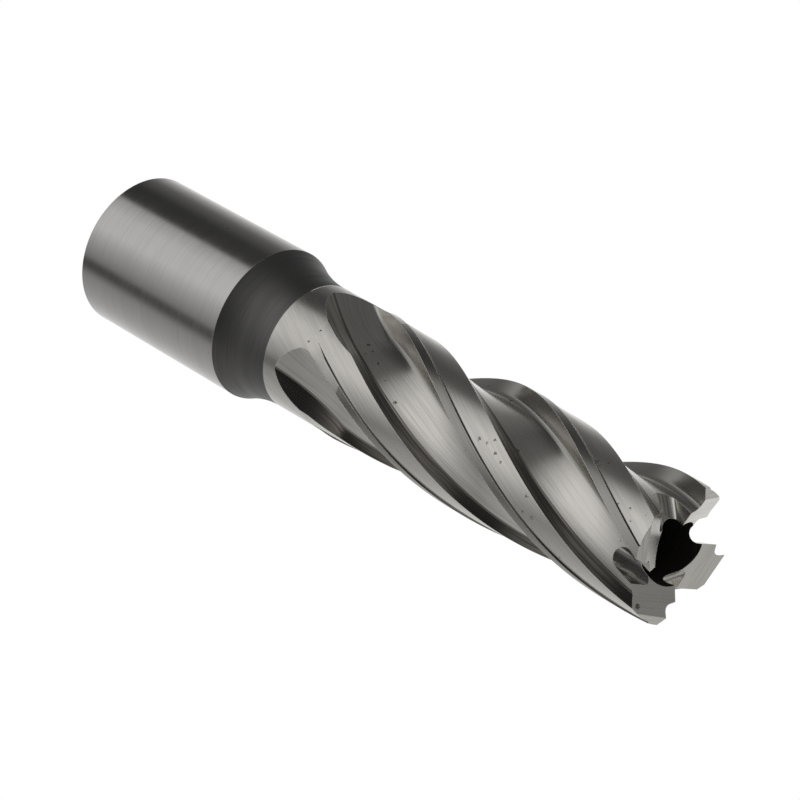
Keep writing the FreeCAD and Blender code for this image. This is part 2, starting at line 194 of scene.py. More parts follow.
class Outlines:
    """The flat outlines that the cutter is turned, ground and milled from."""

    def __init__(self, sizes: CutterSizes) -> None:
        """Keep the sizes."""
        self.sizes = sizes

    def blank(self) -> list[Side]:
        """Half section of the turned and bored bar, radius across and height up."""
        s = self.sizes
        neck_start = s.shank_length + s.shoulder_length
        step = s.shank_radius - s.neck_radius
        shoulder = (step ** 2 + s.shoulder_length ** 2) / (2 * step)
        top = s.crest_height + s.clearance
        cone = (s.slug_radius - s.pilot_radius) / slope(s.slug_cone)
        rim = Vector((s.shank_radius, s.shank_length))
        neck = Vector((s.neck_radius, neck_start))
        corners = [
            (s.pilot_radius + s.pilot_chamfer, 0.0, 1),
            (s.shank_radius - s.rim_break, 0.0, 2),
            (s.shank_radius, s.rim_break, 24),
        ]
        shank: list[Vector] = []
        for here, after in zip(corners, corners[1:] + [(rim.x, rim.y, 0)]):
            shank += line_points(Vector(here[:2]), Vector(after[:2]), here[2])
        margin = Vector((s.cutting_radius, s.margin_start + s.margin_ramp))
        crest = line_points(margin, Vector((s.cutting_radius, top)), 60)
        plain = [point for point in crest if point.y < s.margin_shade]
        top_corner = Vector((s.slug_radius, top))
        return [
            Side(shank, Region.SHANK),
            Side(arc_points(neck + Vector((shoulder, 0.0)), rim, neck, 14, left=False), Region.SHOULDER),
            Side(line_points(neck, Vector((s.neck_radius, s.margin_start)), 8) + plain, Region.NECK),
            Side(crest[len(plain):], Region.MARGIN),
            Side(line_points(top_corner, Vector((s.slug_radius, s.slug_start)), 30)
                 + [Vector((s.pilot_radius, s.slug_start - cone)),
                    Vector((s.pilot_radius, s.pilot_chamfer))], Region.BORE),
        ]

    def flute(self) -> list[Side]:
        """Section that one flute takes away, with the cutting edge on the first axis.

        It runs down the rake face, round the root, along the floor and up the heel wall, and
        closes outside the metal. The foot of the heel wall is left unground with it.
        """
        s = self.sizes
        normal = polar(1.0, s.floor_angle)
        along = Vector((1.0, 0.0))
        root = crossing(Vector((0.0, s.root_radius)), along, normal, s.floor_distance + s.root_radius)
        rake_foot = Vector((root.x, 0.0))
        floor_start = root - normal * s.root_radius
        heel = polar(s.heel_radius, s.heel_angle)
        wall = polar(1.0, s.heel_wall_angle)
        crease = crossing(heel, wall, normal, s.floor_distance)
        corner = Vector((s.cutting_radius, 0.0))
        far = Vector((2 * s.cutting_radius, 0.0))
        ground = line_points(far, corner, 16) + line_points(corner, rake_foot, 6)
        ground += arc_points(root, rake_foot, floor_start, 10, left=False)
        unground = crease.lerp(floor_start, s.heel_foot / (crease - floor_start).length)
        ground += line_points(floor_start, unground, 13)
        outer = heel + wall * s.cutting_radius
        return [
            Side(ground, Region.FLUTE),
            Side([unground] + line_points(crease, heel, 5) + line_points(heel, outer, 16), Region.HEEL),
        ]

    def land(self) -> list[Side]:
        """Section of the relief behind one tooth, which leaves a raised margin at its far side."""
        s = self.sizes
        margin = 360.0 / s.teeth - s.margin_angle
        foot = margin - math.degrees((s.cutting_radius - s.land_radius) / s.cutting_radius)
        outside = s.cutting_radius + 2 * s.clearance
        points = []
        for step in range(-2, 11):
            share = step / 10
            radius = s.heel_radius + (s.land_radius - s.heel_radius) * share
            points.append(polar(radius, s.heel_angle + (foot - s.heel_angle) * share))
        step_end = margin + math.degrees((outside - s.cutting_radius) / outside)
        step_foot = points.pop()
        step_wall = line_points(polar(s.cutting_radius, margin), polar(outside, step_end), 8)
        return [
            Side(points, Region.LAND),
            # The step wall and its foot take the dark heel finish, as painted shade along the margin's
            # step.
            Side([step_foot] + step_wall, Region.HEEL),
            Side([polar(outside, s.heel_angle)], Region.LAND),
        ]

    def gullet(self) -> list[Side]:
        """Slot between two teeth at its mouth, forward across and height up."""
        s = self.sizes
        outwards = s.gullet_mouth - s.gullet_station
        centre = Vector((
            s.gullet_side - outwards * slope(s.gullet_turn),
            s.crest_height - s.gullet_depth - outwards * slope(s.gullet_rise),
        ))
        front = centre + polar(s.gullet_radius, 180.0 - s.gullet_front_lean)
        back = centre + polar(s.gullet_radius, -s.gullet_back_lean)
        top = s.crest_height + 2 * s.clearance
        points = arc_points(centre, front, back, 26, left=True)
        for foot, lean in ((back, s.gullet_back_lean), (front, s.gullet_front_lean)):
            points.append(Vector((foot.x + (top - foot.y) * slope(lean), top)))
        return [Side(points, Region.GULLET)]

    def tooth_end(self) -> list[Side]:
        """Roof over one tooth in its radial plane, radius across and height up."""
        s = self.sizes
        outside = s.cutting_radius + 2 * s.clearance
        top = s.crest_height + 4 * s.clearance
        relief = slope(s.relief_incline) * (s.crest_radius - s.tooth_end_side)
        bevel = slope(s.bevel_incline) * (outside - s.crest_radius)
        return [Side([
            Vector((s.tooth_end_side, s.crest_height - relief)),
            Vector((s.crest_radius, s.crest_height)),
            Vector((outside, s.crest_height - bevel)),
            Vector((outside, top)),
            Vector((s.tooth_end_side, top)),
        ], Region.TOOTH_END)]

    def shank_flat(self) -> list[Side]:
        """What the wheel grinds off for one flat, radius across and height up."""
        s = self.sizes
        outside = s.shank_radius + s.clearance
        depth = outside - s.flat_distance
        reach = math.sqrt(s.flat_wheel ** 2 - (s.flat_wheel - depth) ** 2)
        upper = s.flat_start + s.flat_length
        low_centre = Vector((s.flat_distance + s.flat_wheel, s.flat_start))
        high_centre = Vector((s.flat_distance + s.flat_wheel, upper))
        points = arc_points(low_centre, Vector((s.flat_distance, s.flat_start)),
                            Vector((outside, s.flat_start - reach)), 12, left=True)
        points += arc_points(high_centre, Vector((outside, upper + reach)),
                             Vector((s.flat_distance, upper)), 12, left=True)
        return [Side(points, Region.SHANK)]


class Plane(Enum):
    """Planes that an outline is laid in: how its two numbers become a point."""

    ACROSS = "XY"
    RADIAL = "XZ"
    FORWARD = "YZ"


def outline_object(name: str, outline: list[Side], plane: Plane, place: Matrix | None = None,
                   facing: Vector | None = None) -> bpy.types.Object:
    """Lay an outline in a plane as one face, and keep the region of the side after each corner.

    Args:
        name: The object's name.
        outline: The outline's sides in order.
        plane: The plane that they lie in.
        place: Where the plane is moved to.
        facing: A direction that the face has to look along.

    Returns:
        A hidden helper object, which the trees read.
    """
    places = {
        Plane.ACROSS: lambda p: (p.x, p.y, 0.0),
        Plane.RADIAL: lambda p: (p.x, 0.0, p.y),
        Plane.FORWARD: lambda p: (0.0, p.x, p.y),
    }
    corners = [(point, side.region) for side in outline for point in side.points]
    kept = [corner for corner, after in zip(corners, corners[1:] + corners[:1])
            if (corner[0] - after[0]).length > SAME_POINT]
    mesh = bpy.data.meshes.new(name)
    mesh.from_pydata([places[plane](point) for point, _ in kept], [], [tuple(range(len(kept)))])
    regions = mesh.attributes.new(SIDE_REGION, "INT", "POINT")
    regions.data.foreach_set("value", [int(region) for _, region in kept])
    mesh.transform(place or Matrix.Identity(4))
    if facing is not None and mesh.polygons[0].normal.dot(facing) < 0:
        mesh.flip_normals()
    helper = bpy.data.objects.new(name, mesh)
    bpy.context.scene.collection.objects.link(helper)
    helper.hide_render = True
    return helper


class TreeWriter:
    """Writes a node tree with few words: nodes are made where their values are used."""

    def __init__(self, tree: Tree) -> None:
        """Keep the tree and the family that most of its nodes belong to."""
        self.tree = tree
        self.family = "ShaderNode" if isinstance(tree, bpy.types.ShaderNodeTree) else "GeometryNode"
        self.inputs: Node | None = None

    @classmethod
    def started(cls, kind: str, name: str) -> "TreeWriter":
        """Writer of a new group, whose kind is Geometry or Shader."""
        return cls(bpy.data.node_groups.new(name, kind + "NodeTree"))

    def take(self, kind: str, name: str) -> Socket:
        """Add a named input to the tree and return the socket inside it."""
        self.tree.interface.new_socket(name=name, in_out="INPUT", socket_type="NodeSocket" + kind)
        if self.inputs is None:
            self.inputs = self.tree.nodes.new("NodeGroupInput")
        return self.inputs.outputs[name]

    def takes(self, **kinds: str) -> tuple[Socket, ...]:
        """Add several named inputs, with _ for a space, and return the sockets inside them."""
        return tuple(self.take(kind, name.replace("_", " ")) for name, kind in kinds.items())

    def give(self, kind: str, name: str, value: object) -> None:
        """Add a named output to the tree and feed it."""
        self.tree.interface.new_socket(name=name, in_out="OUTPUT", socket_type="NodeSocket" + kind)
        end = next((n for n in self.tree.nodes if n.bl_idname == "NodeGroupOutput"), None)
        end = end or self.tree.nodes.new("NodeGroupOutput")
        self.feed(end.inputs[name], value)

    def node(self, kind: str, settings: dict | None = None, **values: object) -> Node:
        """Add a node.

        Args:
            kind: The node's type, without the family's name where that is the tree's own.
            settings: Its own properties.
            **values: Its inputs by name, with _ for a space, as numbers or as other sockets.

        Returns:
            The node.
        """
        made = self.tree.nodes.new(kind if "Node" in kind else self.family + kind)
        for name, value in (settings or {}).items():
            setattr(made, name, value)
        for name, value in values.items():
            self.feed(made.inputs[name.replace("_", " ")], value)
        return made

    def feed(self, socket: Socket, value: object) -> None:
        """Give a socket a number, or link a socket, a node's first output or several to it."""
        if isinstance(value, list):
            for one in value:
                self.feed(socket, one)
        elif isinstance(value, Node):
            self.tree.links.new(value.outputs[0], socket)
        elif isinstance(value, Socket):
            self.tree.links.new(value, socket)
        else:
            socket.default_value = value

    def math(self, operation: str, *values: object) -> Socket:
        """One sum of the Math node."""
        made = self.tree.nodes.new("ShaderNodeMath")
        made.operation = operation
        for socket, value in zip(made.inputs, values):
            self.feed(socket, value)
        return made.outputs[0]

    def vector(self, operation: str, *values: object) -> Socket:
        """One sum of the Vector Math node; a plain number feeds its scale."""
        made = self.tree.nodes.new("ShaderNodeVectorMath")
        made.operation = operation
        if operation == "SCALE":
            self.feed(made.inputs[0], values[0])
            self.feed(made.inputs["Scale"], values[1])
        else:
            for socket, value in zip(made.inputs, values):
                self.feed(socket, value)
        scalar = operation in ("LENGTH", "DISTANCE", "DOT_PRODUCT")
        return made.outputs["Value" if scalar else "Vector"]

    def join_xyz(self, across: object, up: object, out: object) -> Socket:
        """A vector from three numbers."""
        return self.node("ShaderNodeCombineXYZ", X=across, Y=up, Z=out).outputs[0]

    def split_xyz(self, vector: object) -> bpy.types.bpy_prop_collection:
        """The three numbers of a vector."""
        return self.node("ShaderNodeSeparateXYZ", Vector=vector).outputs

    def blend(self, share: object, first: object, second: object) -> Socket:
        """Mix two colours by a share."""
        mix = self.node("ShaderNodeMix", {"data_type": "RGBA"})
        for name, value in (("Factor", share), ("A", first), ("B", second)):
            self.feed(next(item for item in mix.inputs if item.name == name and item.enabled), value)
        return next(item for item in mix.outputs if item.enabled)

    def smooth(self, value: object, low: float, high: float) -> Node:
        """A smooth step from nought at one value to one at another."""
        return self.node("ShaderNodeMapRange", {"interpolation_type": "SMOOTHSTEP"}, Value=value,
                         From_Min=low, From_Max=high)

    def group(self, tree: Tree, **values: object) -> Node:
        """Place another tree as a group."""
        return self.node("Group", {"node_tree": tree}, **values)


class CutterTrees:
    """Geometry node trees that turn, flute and sharpen the cutter."""

    POSE_INPUTS = ("Helix Lead", "Corner Level", "Run Out Start", "Straight", "Wheel Radius",
                   "Wheel Tilt", "Lift Angle")

    def pose(self) -> Tree:
        """Tree that places a point of a ground section at a height.

        Above the run-out the section only turns with the helix. Below it the section slides
        straight on along the tilted wheel, where Straight is one, and climbs out of the metal
        with the wheel's rim.
        """
        w = TreeWriter.started("Geometry", "Section pose")
        point, level = w.takes(Point="Vector", Level="Float")
        lead, corner, start, straight, wheel, tilt, lift_angle = (
            w.take("Float", name) for name in self.POSE_INPUTS)
        below = w.math("MAXIMUM", w.math("SUBTRACT", start, level), 0.0)
        height = w.math("ADD", level, w.math("MULTIPLY", below, straight))
        turn = w.math("MULTIPLY", w.math("DIVIDE", FULL_TURN, lead), w.math("SUBTRACT", height, corner))
        reach = w.math("DIVIDE", below, w.math("COSINE", tilt))
        chord = w.math("SQRT", w.math("SUBTRACT", w.math("POWER", wheel, 2.0),
                                      w.math("POWER", reach, 2.0)))
        lift = w.math("SUBTRACT", wheel, chord)
        slide = w.math("MULTIPLY", below, w.math("TANGENT", tilt))
        out = w.join_xyz(w.math("COSINE", lift_angle), w.math("SINE", lift_angle), 0.0)
        back = w.join_xyz(w.math("SINE", lift_angle), w.math("MULTIPLY", w.math(
            "COSINE", lift_angle), -1.0), 0.0)
        shift = w.vector("ADD", w.vector("SCALE", out, lift), w.vector("SCALE", back, slide))
        turned = w.node("ShaderNodeVectorRotate", {"rotation_type": "Z_AXIS"},
                        Vector=w.vector("ADD", point, shift), Angle=turn)
        placed = w.vector("ADD", turned, w.join_xyz(0.0, 0.0, level))
        w.give("Vector", "Position", placed)
        return w.tree

    def prism(self) -> Tree:
        """Tree that pushes a flat outline along a vector into a closed solid of one region."""
        w = TreeWriter.started("Geometry", "Prism")
        outline, offset, region = w.takes(Outline="Geometry", Offset="Vector", Region="Int")
        pushed = w.node("ExtrudeMesh", Mesh=outline, Offset=offset, Offset_Scale=1.0, Individual=False)
        near_end = w.node("FlipFaces", Mesh=outline)
        both = w.node("JoinGeometry", Geometry=[pushed.outputs["Mesh"], near_end])
        closed = w.node("MergeByDistance", Geometry=both, Distance=1e-6)
        w.give("Geometry", "Geometry", self.mark(w, closed, region))
        return w.tree

    def mark(self, w: TreeWriter, mesh: object, region: object) -> Node:
        """Keep the region of each face."""
        return w.node("StoreNamedAttribute", {"data_type": "INT", "domain": "FACE"},
                      Geometry=mesh, Name=REGION, Value=region)

    def side_grid(self, w: TreeWriter, outline: Socket, rows: Socket) -> tuple[Node, Node, Socket]:
        """Grid with a column for each side of an outline.

        Args:
            w: Writer of the tree.
            outline: The outline's mesh.
            rows: How many corners a column has.

        Returns:
            The grid with each face's region, the outline's corner for each of its points, and
            the share of the column's length there.
        """
        count = w.node("AttributeDomainSize", Geometry=outline).outputs["Point Count"]
        grid = w.node("MeshGrid", Size_X=1.0, Size_Y=1.0,
                      Vertices_X=w.math("ADD", count, 1.0), Vertices_Y=rows)
        position = w.node("InputPosition")
        place = w.split_xyz(position)
        across = w.math("MULTIPLY", w.math("ADD", place["X"], 0.5), count)
        named = w.node("InputNamedAttribute", {"data_type": "INT"}, Name=SIDE_REGION)
        region = w.node("SampleIndex", {"data_type": "INT", "domain": "POINT"},
                        Geometry=outline, Value=named.outputs["Attribute"],
                        Index=w.math("FLOOR", across))
        marked = self.mark(w, grid.outputs["Mesh"], region)
        corner = w.node("SampleIndex", {"data_type": "FLOAT_VECTOR", "domain": "POINT"},
                        Geometry=outline, Value=position,
                        Index=w.math("FLOORED_MODULO", w.math("ROUND", across), count))
        return marked, corner, w.math("ADD", place["Y"], 0.5)

    def around_axis(self) -> Tree:
        """Tree that repeats a solid about the axis."""
        w = TreeWriter.started("Geometry", "Around axis")
        solid, count, step = w.takes(Geometry="Geometry", Count="Int", Step="Float")
        points = w.node("Points", Count=count)
        turn = w.math("MULTIPLY", w.node("InputIndex"), step)
        placed = w.node("InstanceOnPoints", Points=points, Instance=solid,
                        Rotation=w.join_xyz(0.0, 0.0, turn))
        w.give("Geometry", "Instances", placed)
        return w.tree

    def revolve(self) -> Tree:
        """Tree that turns a closed half section about the axis."""
        w = TreeWriter.started("Geometry", "Revolve")
        outline, segments = w.takes(Outline="Geometry", Segments="Int")
        grid, corner, share = self.side_grid(w, outline, w.math("ADD", segments, 1.0))
        turned = w.node("ShaderNodeVectorRotate", {"rotation_type": "Z_AXIS"},
                        Vector=corner, Angle=w.math("MULTIPLY", share, FULL_TURN))
        shaped = w.node("SetPosition", Geometry=grid, Position=turned)
        outwards = w.node("FlipFaces", Mesh=shaped)
        closed = w.node("MergeByDistance", Geometry=outwards, Distance=SAME_POINT)
        w.give("Geometry", "Geometry", closed)
        return w.tree

    def sweep(self, pose: Tree) -> Tree:
        """Tree that sweeps a section up the cutter as a closed solid."""
        w = TreeWriter.started("Geometry", "Section sweep")
        outline, bottom, top, levels = w.takes(
            Outline="Geometry", Bottom="Float", Top="Float", Levels="Int")
        shape = {name.replace(" ", "_"): w.take("Float", name) for name in self.POSE_INPUTS}
        grid, corner, share = self.side_grid(w, outline, levels)
        rise = w.math("MULTIPLY", share, w.math("SUBTRACT", top, bottom))
        placed = w.group(pose, Point=corner, Level=w.math("ADD", rise, bottom), **shape)
        walls = w.node("SetPosition", Geometry=grid, Position=placed)
        position = w.node("InputPosition")
        low = w.group(pose, Point=position, Level=bottom, **shape)
        high = w.group(pose, Point=position, Level=top, **shape)
        floor_end = w.node("SetPosition", Geometry=outline, Position=low)
        roof_end = w.node("SetPosition", Geometry=outline, Position=high)
        roof = w.node("FlipFaces", Mesh=roof_end)
        outwards = w.node("FlipFaces", Mesh=walls)
        whole = w.node("JoinGeometry", Geometry=[outwards, floor_end, roof])
        closed = w.node("MergeByDistance", Geometry=whole, Distance=SAME_POINT)
        w.give("Geometry", "Geometry", closed)
        return w.tree

    def cutter(self) -> Tree:
        """Tree of the whole cutter: blank, flutes, lands, gullets, tooth ends and flats."""
        prism, around, revolve = self.prism(), self.around_axis(), self.revolve()
        sweep = self.sweep(self.pose())
        w = TreeWriter.started("Geometry", "Cutter")
        w.take("Geometry", "Geometry")
        outlines = {}
        for name in ("Blank", "Flute", "Land", "Gullet", "Tooth End", "Shank Flat"):
            read = w.node("ObjectInfo", Object=w.take("Object", name))
            outlines[name] = read.outputs["Geometry"]
        teeth, segments = w.takes(Teeth="Int", Segments="Int")
        shared = {name.replace(" ", "_"): w.take("Float", name)
                  for name in ("Top", "Helix Lead", "Corner Level")}
        blank = w.group(revolve, Outline=outlines["Blank"], Segments=segments)
        pitch = w.math("DIVIDE", FULL_TURN, teeth)
        tools = []
        for name in ("Flute", "Land"):
            levels = w.take("Int", name + " Levels")
            own = {label.replace(" ", "_"): w.take("Float", name + " " + label)
                   for label in ("Bottom",) + self.POSE_INPUTS[2:]}
            swept = w.group(sweep, Outline=outlines[name], Levels=levels, **shared, **own)
            tools.append(w.group(around, Geometry=swept, Count=teeth, Step=pitch))
        for name, region in (("Gullet", Region.GULLET), ("Tooth End", Region.TOOTH_END),
                             ("Shank Flat", Region.SHANK)):
            push = w.take("Vector", name + " Push")
            solid = w.group(prism, Outline=outlines[name], Offset=push, Region=int(region))
            flat = name == "Shank Flat"
            repeated = w.group(around, Geometry=solid, Count=2 if flat else teeth,
                               Step=FULL_TURN / 4 if flat else pitch)
            tools.append(repeated)
        cut = blank
        for tool in tools:
            solid = w.node("RealizeInstances", Geometry=tool)
            step = w.node("MeshBoolean", {"operation": "DIFFERENCE", "solver": "MANIFOLD"})
            w.feed(step.inputs["Mesh 1"], cut)
            w.feed(step.inputs["Mesh 2"], solid)
            cut = step.outputs["Mesh"]
        placed = w.node("Transform", Geometry=cut, Rotation=w.join_xyz(
            0.0, 0.0, w.take("Float", "Turn")))
        angle = w.node("InputMeshEdgeAngle").outputs["Unsigned Angle"]
        soft = w.node("FunctionNodeCompare", {"data_type": "FLOAT", "operation": "LESS_THAN"},
                      A=angle, B=w.take("Float", "Sharp Angle"))
        faces = w.node("SetShadeSmooth", {"domain": "FACE"}, Geometry=placed, Shade_Smooth=True)
        edges = w.node("SetShadeSmooth", {"domain": "EDGE"}, Geometry=faces,
                       Shade_Smooth=soft.outputs["Result"])
        last = w.node("RealizeInstances", Geometry=edges)
        named = w.node("InputNamedAttribute", {"data_type": "INT"}, Name=REGION)
        for region in Region:
            chosen = w.node("FunctionNodeCompare", {"data_type": "INT", "operation": "EQUAL"})
            w.feed(chosen.inputs[2], named.outputs["Attribute"])
            chosen.inputs[3].default_value = int(region)
            finish = w.node("SetMaterial", Geometry=last, Material=w.take("Material", region.name))
            if region is not Region.SHANK:
                w.feed(finish.inputs["Selection"], chosen.outputs["Result"])
            last = finish
        w.give("Geometry", "Geometry", last)
        return w.tree


def run_tree(name: str, tree: Tree, inputs: dict[str, object]) -> bpy.types.Object:
    """Run a geometry tree on an empty mesh and keep what it makes as a plain mesh.

    Args:
        name: The new piece's name.
        tree: The tree.
        inputs: Values for the tree's named inputs.

    Returns:
        The piece, with no modifier left on it.
    """
    piece = bpy.data.objects.new(name, bpy.data.meshes.new(name + "_empty"))
    bpy.context.scene.collection.objects.link(piece)
    modifier = piece.modifiers.new("Shape", "NODES")
    modifier.node_group = tree
    sockets = {item.name: item.identifier for item in tree.interface.items_tree
               if item.in_out == "INPUT"}
    for label, value in inputs.items():
        modifier[sockets[label]] = value
    evaluated = piece.evaluated_get(bpy.context.evaluated_depsgraph_get())
    mesh = bpy.data.meshes.new_from_object(evaluated)
    mesh.name = name
    while mesh.materials and mesh.materials[0] is None:
        mesh.materials.pop(index=0)
    piece.modifiers.remove(modifier)
    piece.data = mesh
    return piece


@dataclass(frozen=True)
class Pit:
    """A pit or stain: pixels across and down where the picture shows it, and its size in mm."""

    across: float
    down: float
    size: float


PITS = (
    Pit(368, 344.4, 0.4), Pit(372.4, 351, 0.3), Pit(365, 353, 0.25), Pit(320, 330, 0.25),
    Pit(308, 341, 0.2), Pit(378, 363, 0.35), Pit(395, 402, 0.3), Pit(479, 438.4, 0.3),
    Pit(486.4, 442.4, 0.25), Pit(494, 439.6, 0.3), Pit(495, 453, 0.3), Pit(500, 462, 0.25),
    Pit(517, 450, 0.5), Pit(511, 400, 0.3), Pit(526, 496, 0.3), Pit(522, 511, 0.25),
    Pit(531, 517, 0.3), Pit(559, 557, 0.25), Pit(596, 461, 0.5), Pit(599, 465, 0.35),
    Pit(608, 462.4, 0.25), Pit(617, 503.6, 0.25), Pit(630, 508, 0.25), Pit(630, 520, 0.2),
    Pit(637, 606, 0.5), Pit(226.4, 228, 0.25),
)


@dataclass(frozen=True)
class PictureCamera:
    """The camera of the picture, with its place in mm and its turns in degrees."""

    place: tuple[float, float, float] = (-200.018, -200.431, 262.787)
    tilt: float = -32.9108
    lean: float = -43.6648
    heading: float = 88.1485
    lens: float = 140.45
    sensor: float = 36.0
    picture: int = 800

    @property
    def pose(self) -> Matrix:
        """Its place and turn in the frame."""
        turns = Euler([math.radians(turn) for turn in (self.tilt, self.lean, self.heading)])
        return Matrix.Translation(Vector(self.place) * MM) @ turns.to_matrix().to_4x4()

    def find(self, steel: BVHTree, pit: Pit) -> Vector:
        """Point of the steel that the picture shows at a pit.

        Args:
            steel: The piece's faces.
            pit: The pit.

        Returns:
            The point in the frame.

        Raises:
            ValueError: If no steel is there.
        """
        middle = (self.picture - 1) / 2
        reach = self.picture * self.lens / self.sensor
        sight = Vector((pit.across - middle, middle - pit.down, -reach)).normalized()
        place = steel.ray_cast(self.pose.translation, self.pose.to_3x3() @ sight)[0]
        if place is None:
            raise ValueError(f"the picture shows no steel at {pit}")
        return place


class Grain(Enum):
    """Ways that the fine grinding lines run, by the name of their coordinates."""

    AROUND = "Around"
    HELIX = "Helix"
    TOOTH = "Tooth"
    GULLET = "Gullet"


@dataclass(frozen=True)
class SteelFinish:
    """Finish of one region of the steel.

    Attributes:
        name: The material's name.
        colour: Reflection colour, linear.
        stain: Reflection colour in the dull streaks, linear.
        roughness: Roughness between the streaks.
        grain: How the grinding lines run.
        depth: Strength of the grinding lines in the normal.
        streak: Share of the stain's colour in the dullest streak.
        pitted: How much the pits show.
        edge: How much the worn edges and their painted highlight show.
    """

    name: str
    colour: Colour
    stain: Colour
    roughness: float
    grain: Grain
    depth: float = 0.3
    streak: float = 0.5
    pitted: float = 1.0
    edge: float = 0.6


FINISHES = {
    Region.SHANK: SteelFinish("ground_shank", (0.585, 0.57, 0.555), (0.48, 0.468, 0.455), 0.17,
                              Grain.AROUND, depth=0.1, streak=0.3),
    Region.SHOULDER: SteelFinish("turned_shoulder", (0.155, 0.151, 0.148), (0.125, 0.122, 0.12), 0.42,
                                 Grain.AROUND, depth=0.2, edge=0.0),
    Region.NECK: SteelFinish("ground_neck", (0.65, 0.627, 0.592), (0.47, 0.456, 0.42), 0.22,
                             Grain.HELIX, depth=0.3, streak=0.4, edge=0.8),
    Region.MARGIN: SteelFinish("ground_margin", (0.36, 0.347, 0.325), (0.24, 0.231, 0.21), 0.25,
                               Grain.HELIX, depth=0.2, streak=0.35, edge=0.9),
    # The bore's near-black colour is painted shade inside the hollow.
    Region.BORE: SteelFinish("dark_bore", (0.07, 0.06, 0.055), (0.04, 0.035, 0.03), 0.6, Grain.AROUND,
                             pitted=0.0, edge=0.0),
    Region.FLUTE: SteelFinish("ground_flute", (0.68, 0.655, 0.617), (0.42, 0.41, 0.37), 0.19,
                              Grain.HELIX, depth=0.75, streak=0.5, edge=0.3),
    Region.HEEL: SteelFinish("dark_heel", (0.32, 0.297, 0.268), (0.08, 0.073, 0.064), 0.22, Grain.HELIX,
                             depth=0.6, streak=0.7, pitted=0.4, edge=0.15),
    Region.LAND: SteelFinish("ground_land", (0.65, 0.627, 0.592), (0.47, 0.456, 0.42), 0.22,
                             Grain.HELIX, depth=0.3, streak=0.4, pitted=0.8, edge=0.7),
    Region.GULLET: SteelFinish("ground_gullet", (0.66, 0.64, 0.6), (0.26, 0.25, 0.22), 0.16,
                               Grain.GULLET, depth=0.6, streak=0.7, edge=0.3),
    Region.TOOTH_END: SteelFinish("ground_tooth_end", (0.61, 0.59, 0.55), (0.42, 0.41, 0.36), 0.22,
                                  Grain.TOOTH, depth=0.5, streak=0.6, edge=0.3),
}


@dataclass
class Cutter:
    """The whole cutter, one piece of ground high-speed steel."""

    sizes: CutterSizes
    segments: int = 288
    level_spacing: float = 0.5 * MM
    sharp_angle: float = 13.0

    def build(self, camera: PictureCamera) -> bpy.types.Object:
        """Make the cutter's mesh from its outlines and dress it.

        Args:
            camera: The camera that shows where the pits are.

        Returns:
            The finished piece.
        """
        s = self.sizes
        outlines = Outlines(s)
        crest = Vector((slope(s.crest_toe), 1.0, slope(s.crest_drop)))
        pushes = {
            "Gullet": Vector((-1.0, slope(s.gullet_turn),
                              slope(s.gullet_rise))) * (s.gullet_mouth - s.clearance),
            "Tooth End": -crest * (s.cutting_radius + s.tooth_end_side),
            "Shank Flat": polar(4 * s.shank_radius, s.flat_angle + 90.0).to_3d(),
        }
        places = {
            "Gullet": Matrix.Translation(Vector((s.gullet_mouth, 0.0, 0.0))),
            "Tooth End": Matrix.Translation(crest * s.tooth_end_side),
            "Shank Flat": Matrix.Translation(-pushes["Shank Flat"] / 2)
            @ Matrix.Rotation(math.radians(s.flat_angle), 4, "Z"),
        }
        shapes = {
            "Blank": (outlines.blank(), Plane.RADIAL),
            "Flute": (outlines.flute(), Plane.ACROSS),
            "Land": (outlines.land(), Plane.ACROSS),
            "Gullet": (outlines.gullet(), Plane.FORWARD),
            "Tooth End": (outlines.tooth_end(), Plane.RADIAL),
            "Shank Flat": (outlines.shank_flat(), Plane.RADIAL),
        }
        top = s.crest_height + 2 * s.clearance
        flute_bottom = s.runout_start - s.runout_length
        land_bottom = s.margin_start - s.land_runout
        land_wheel = (s.land_runout ** 2 + s.land_lift ** 2) / (2 * s.land_lift)
        inputs = {
            "Teeth": s.teeth,
            "Segments": self.segments,
            "Top": top,
            "Helix Lead": s.helix_lead,
            "Corner Level": s.corner_level,
            "Flute Levels": round((top - flute_bottom) / self.level_spacing),
            "Flute Bottom": flute_bottom,
            "Flute Run Out Start": s.runout_start,
            "Flute Straight": 1.0,
            "Flute Wheel Radius": s.wheel_radius,
            "Flute Wheel Tilt": math.radians(s.wheel_tilt),
            "Flute Lift Angle": math.radians(s.floor_angle),
            "Land Levels": round((top - land_bottom) / self.level_spacing),
            "Land Bottom": land_bottom,
            "Land Run Out Start": s.margin_start,
            "Land Straight": 0.0,
            "Land Wheel Radius": land_wheel,
            "Land Wheel Tilt": 0.0,
            "Land Lift Angle": math.radians((s.heel_angle + 360.0 / s.teeth) / 2),
            "Turn": -math.radians(s.flat_angle),
            "Sharp Angle": math.radians(self.sharp_angle),
        }
        for name, (outline, plane) in shapes.items():
            inputs[name] = outline_object(name, outline, plane, places.get(name), pushes.get(name))
            if name in pushes:
                inputs[name + " Push"] = pushes[name]
        materials = {region: bpy.data.materials.new(FINISHES[region].name) for region in Region}
        inputs.update({region.name: material for region, material in materials.items()})
        piece = run_tree("cutter", CutterTrees().cutter(), inputs)
        steel = BVHTree.FromObject(piece, bpy.context.evaluated_depsgraph_get())
        steels = Steels(s, [camera.find(steel, pit) for pit in PITS])
        for region, material in materials.items():
            steels.dress(material, FINISHES[region])
        return piece

    def place(self, camera: PictureCamera) -> bpy.types.Object:
        """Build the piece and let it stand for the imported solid."""
        piece = self.build(camera)
        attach(piece, BODY)
        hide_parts(CAD_NODE)
        return piece


